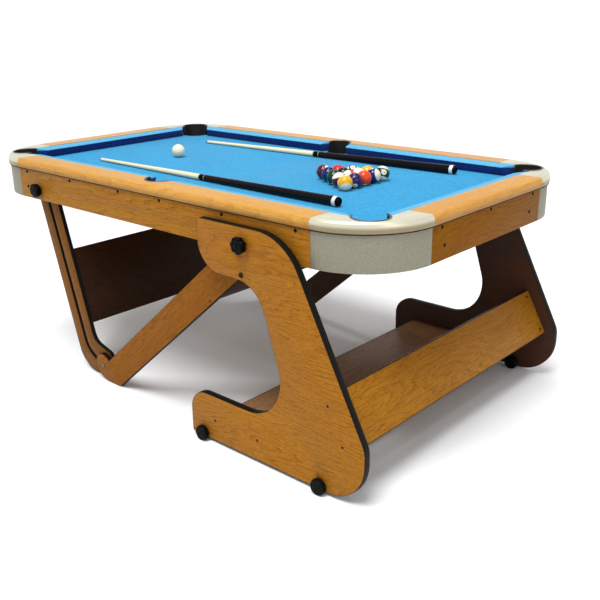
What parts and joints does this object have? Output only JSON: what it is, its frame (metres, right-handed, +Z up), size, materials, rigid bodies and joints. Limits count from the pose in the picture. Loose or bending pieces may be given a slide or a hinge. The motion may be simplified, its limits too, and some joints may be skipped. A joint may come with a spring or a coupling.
{
  "type": "folding pool table",
  "caption": "Mini pool table with slotted V-legs and C-shaped side panels; the top unlocks and folds upright on wheels for storage.",
  "frame": {"origin": "floor point under the middle of the playing surface (centre of the bottom of the bounding box along X and Y)", "axes": "+X along the table towards the C-panels, +Y towards the far long side, +Z up; rest pose is the playing position"},
  "size_m": [1.812, 1.155, 0.7686],
  "materials": {
    "beech_laminate": "satin wood-grain laminate",
    "rail_laminate": "satin wood-grain laminate",
    "silver_moulding": "fine textured silver-grey",
    "black_plastic": "satin black",
    "blue_cloth": "napped cloth",
    "cushion_cloth": "napped cloth",
    "bare_board": "raw board",
    "zinc_steel": "zinc plated",
    "cream_maple": "lacquered maple and black stain",
    "ivory_resin": "polished",
    "ball_resin": "polished, fifteen different colours"
  },
  "bodies": {
    "base": {"panel_near": "beech_laminate", "panel_far": "beech_laminate", "front_board": "beech_laminate", "shelf_board": "beech_laminate", "lock_bolt_near": "black_plastic", "lock_bolt_far": "black_plastic", "pivot_spacer_near": "black_plastic", "pivot_spacer_far": "black_plastic"},
    "table_top": {"apron_near": "beech_laminate", "apron_far": "beech_laminate", "apron_left": "beech_laminate", "apron_right": "beech_laminate", "skirt_near_left": "silver_moulding", "skirt_near_right": "silver_moulding", "skirt_far_left": "silver_moulding", "skirt_far_right": "silver_moulding", "cap_near_left": "silver_moulding", "cap_near_right": "silver_moulding", "cap_far_left": "silver_moulding", "cap_far_right": "silver_moulding", "rail_near": "rail_laminate", "rail_far": "rail_laminate", "rail_left": "rail_laminate", "rail_right": "rail_laminate", "cushion_near_left": "cushion_cloth", "cushion_near_right": "cushion_cloth", "cushion_far_left": "cushion_cloth", "cushion_far_right": "cushion_cloth", "cushion_left_end": "cushion_cloth", "cushion_right_end": "cushion_cloth", "bed": "bare_board", "cloth": "blue_cloth", "pocket_cup_near_left": "black_plastic", "pocket_cup_near_right": "black_plastic", "pocket_cup_far_left": "black_plastic", "pocket_cup_far_right": "black_plastic", "pocket_cup_near_side": "black_plastic", "pocket_cup_far_side": "black_plastic", "bed_batten_left": "bare_board", "bed_batten_right": "bare_board"},
    "strut_frame": {"strut_near": "beech_laminate", "strut_far": "beech_laminate", "strut_board": "beech_laminate", "foot_bolt_near": "zinc_steel", "foot_bolt_far": "zinc_steel"},
    "leg_frame": {"leg_near": "beech_laminate", "leg_far": "beech_laminate", "leg_board": "beech_laminate"},
    "wheels_near_rear": {"wheels_near_rear": "black_plastic"},
    "wheels_near_front": {"wheels_near_front": "black_plastic"},
    "wheels_far_rear": {"wheels_far_rear": "black_plastic"},
    "wheels_far_front": {"wheels_far_front": "black_plastic"},
    "knob_top_near": {"knob_top_near": "black_plastic"},
    "knob_top_far": {"knob_top_far": "black_plastic"},
    "knob_leg_near": {"knob_leg_near": "black_plastic"},
    "knob_leg_far": {"knob_leg_far": "black_plastic"},
    "cue_near": {"cue_near": "cream_maple"},
    "cue_far": {"cue_far": "cream_maple"},
    "cue_ball": {"cue_ball": "ivory_resin"},
    "rack_balls": {"rack_balls": "ball_resin"}
  },
  "joints": [
    {"name": "top_fold", "type": "hinge", "parent": "base", "child": "table_top", "pos_m": [0.47, 0, 0.655], "axis": [0, 1, 0], "range_deg": [0, 90]},
    {"name": "strut_fold", "type": "hinge", "parent": "table_top", "child": "strut_frame", "pos_m": [0.47, 0, 0.655], "axis": [0, 1, 0], "range_deg": [0, 36]},
    {"name": "leg_fold", "type": "hinge", "parent": "table_top", "child": "leg_frame", "pos_m": [-0.567, 0, 0.657], "axis": [0, 1, 0], "range_deg": [-67.5, 0]},
    {"name": "wheels_near_rear_roll", "type": "hinge", "parent": "base", "child": "wheels_near_rear", "pos_m": [0.275, -0.54, 0.024], "axis": [0, 1, 0], "continuous": true},
    {"name": "wheels_near_front_roll", "type": "hinge", "parent": "base", "child": "wheels_near_front", "pos_m": [0.74, -0.54, 0.024], "axis": [0, 1, 0], "continuous": true},
    {"name": "wheels_far_rear_roll", "type": "hinge", "parent": "base", "child": "wheels_far_rear", "pos_m": [0.275, 0.54, 0.024], "axis": [0, 1, 0], "continuous": true},
    {"name": "wheels_far_front_roll", "type": "hinge", "parent": "base", "child": "wheels_far_front", "pos_m": [0.74, 0.54, 0.024], "axis": [0, 1, 0], "continuous": true},
    {"name": "knob_top_near_turn", "type": "hinge", "parent": "base", "child": "knob_top_near", "pos_m": [0.47, -0.5515, 0.655], "axis": [0, 1, 0], "continuous": true},
    {"name": "knob_top_far_turn", "type": "hinge", "parent": "base", "child": "knob_top_far", "pos_m": [0.47, 0.5515, 0.655], "axis": [0, 1, 0], "continuous": true},
    {"name": "knob_leg_near_turn", "type": "hinge", "parent": "table_top", "child": "knob_leg_near", "pos_m": [-0.567, -0.5165, 0.657], "axis": [0, 1, 0], "continuous": true},
    {"name": "knob_leg_far_turn", "type": "hinge", "parent": "table_top", "child": "knob_leg_far", "pos_m": [-0.567, 0.5165, 0.657], "axis": [0, 1, 0], "continuous": true},
    {"name": "cue_near_lift", "type": "slide", "parent": "table_top", "child": "cue_near", "axis": [0, 0, 1], "range_m": [0, 0.3]},
    {"name": "cue_far_lift", "type": "slide", "parent": "table_top", "child": "cue_far", "axis": [0, 0, 1], "range_m": [0, 0.3]},
    {"name": "cue_ball_lift", "type": "slide", "parent": "table_top", "child": "cue_ball", "axis": [0, 0, 1], "range_m": [0, 0.3]},
    {"name": "rack_balls_lift", "type": "slide", "parent": "table_top", "child": "rack_balls", "axis": [0, 0, 1], "range_m": [0, 0.3]}
  ],
  "couplings": [
    {"joint": "strut_fold", "follows": "top_fold", "ratio": 0.3989},
    {"joint": "leg_fold", "follows": "top_fold", "ratio": -0.75}
  ]
}
